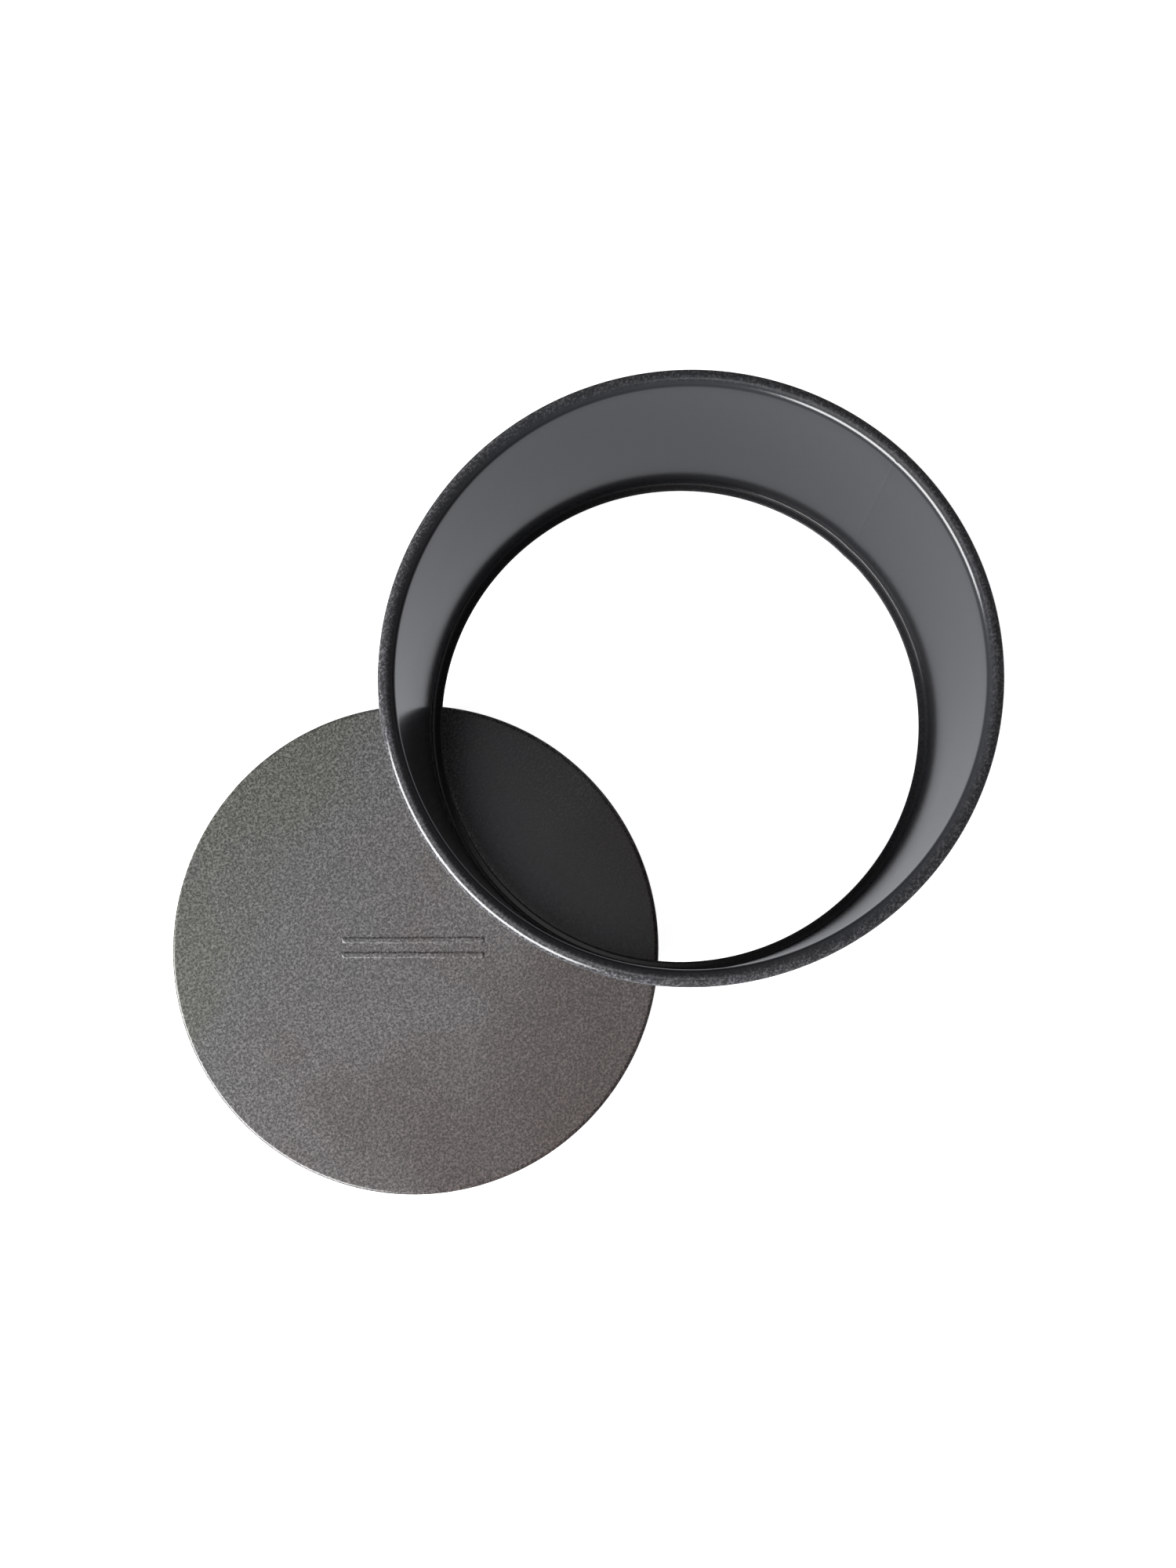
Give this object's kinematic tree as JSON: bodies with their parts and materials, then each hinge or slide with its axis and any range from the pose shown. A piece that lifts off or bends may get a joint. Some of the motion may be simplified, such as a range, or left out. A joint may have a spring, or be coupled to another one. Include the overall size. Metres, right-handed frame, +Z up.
{
  "type": "loose-bottomed cake tin",
  "caption": "Deep round cake tin with a loose base, taken apart: the flat base lies on the table and the rimmed side ring leans on its edge.",
  "frame": {"origin": "on the table, under the middle of the whole layout", "axes": "+X from the base's centre towards the ring's centre, +Z up, +Y to the left of +X seen from above"},
  "size_m": [0.3471, 0.212, 0.0939],
  "materials": {
    "ring_coating": "satin dark grey non-stick coating on carbon steel",
    "wire_steel": "plain drawn steel wire",
    "base_coating": "finely speckled dark grey non-stick coating on carbon steel"
  },
  "bodies": {
    "base": {"loose_base": "base_coating"},
    "ring": {"side_ring": "ring_coating", "rim_wire": "wire_steel"}
  },
  "joints": [
    {"name": "ring_lift", "type": "slide", "parent": "base", "child": "ring", "axis": [0, 0, 1], "range_m": [0, 0.12]}
  ]
}
